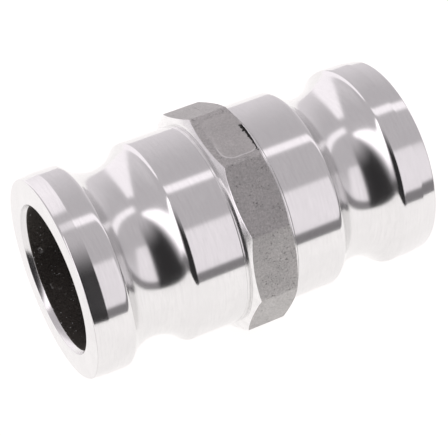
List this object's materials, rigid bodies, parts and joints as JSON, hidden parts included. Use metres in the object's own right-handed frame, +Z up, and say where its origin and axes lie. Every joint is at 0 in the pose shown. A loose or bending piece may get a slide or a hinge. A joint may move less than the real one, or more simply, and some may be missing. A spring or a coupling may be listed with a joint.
{
  "type": "camlock double adapter",
  "caption": "Double-ended cam and groove pipe adapter: turned male cam ends screwed into a ten-sided cast wrench collar, open straight through.",
  "frame": {"origin": "middle of the bore: on the bore axis, halfway between the two sealing faces", "axes": "+X along the bore towards the right-hand adapter, +Z up through the wrench flat with the raised pad, the collar's lowest flat faces -Z"},
  "size_m": [0.1124, 0.0702, 0.067],
  "materials": {
    "turned_steel": "bright turned, fine circular tool marks; dark as-cast waterway",
    "ring_steel": "smooth bright",
    "cast_steel": "matte blasted casting with turned chamfers"
  },
  "bodies": {
    "collar": {"wrench_collar": "cast_steel"},
    "left_ring": {"left_sealing_ring": "ring_steel"},
    "left_end": {"left_adapter": "turned_steel"},
    "right_ring": {"right_sealing_ring": "ring_steel"},
    "right_end": {"right_adapter": "turned_steel"}
  },
  "joints": [
    {"name": "left_ring_slide", "type": "slide", "parent": "collar", "child": "left_ring", "axis": [-1, 0, 0], "range_m": [0, 0.00675]},
    {"name": "left_end_screw", "type": "hinge", "parent": "left_ring", "child": "left_end", "pos_m": [0, 0, 0], "axis": [-1, 0, 0], "range_deg": [0, 1620]},
    {"name": "right_ring_slide", "type": "slide", "parent": "collar", "child": "right_ring", "axis": [1, 0, 0], "range_m": [0, 0.00675]},
    {"name": "right_end_screw", "type": "hinge", "parent": "right_ring", "child": "right_end", "pos_m": [0, 0, 0], "axis": [1, 0, 0], "range_deg": [0, 1620]}
  ],
  "couplings": [
    {"joint": "left_ring_slide", "follows": "left_end_screw", "m_per_rad": 0.00023873},
    {"joint": "right_ring_slide", "follows": "right_end_screw", "m_per_rad": 0.00023873}
  ]
}
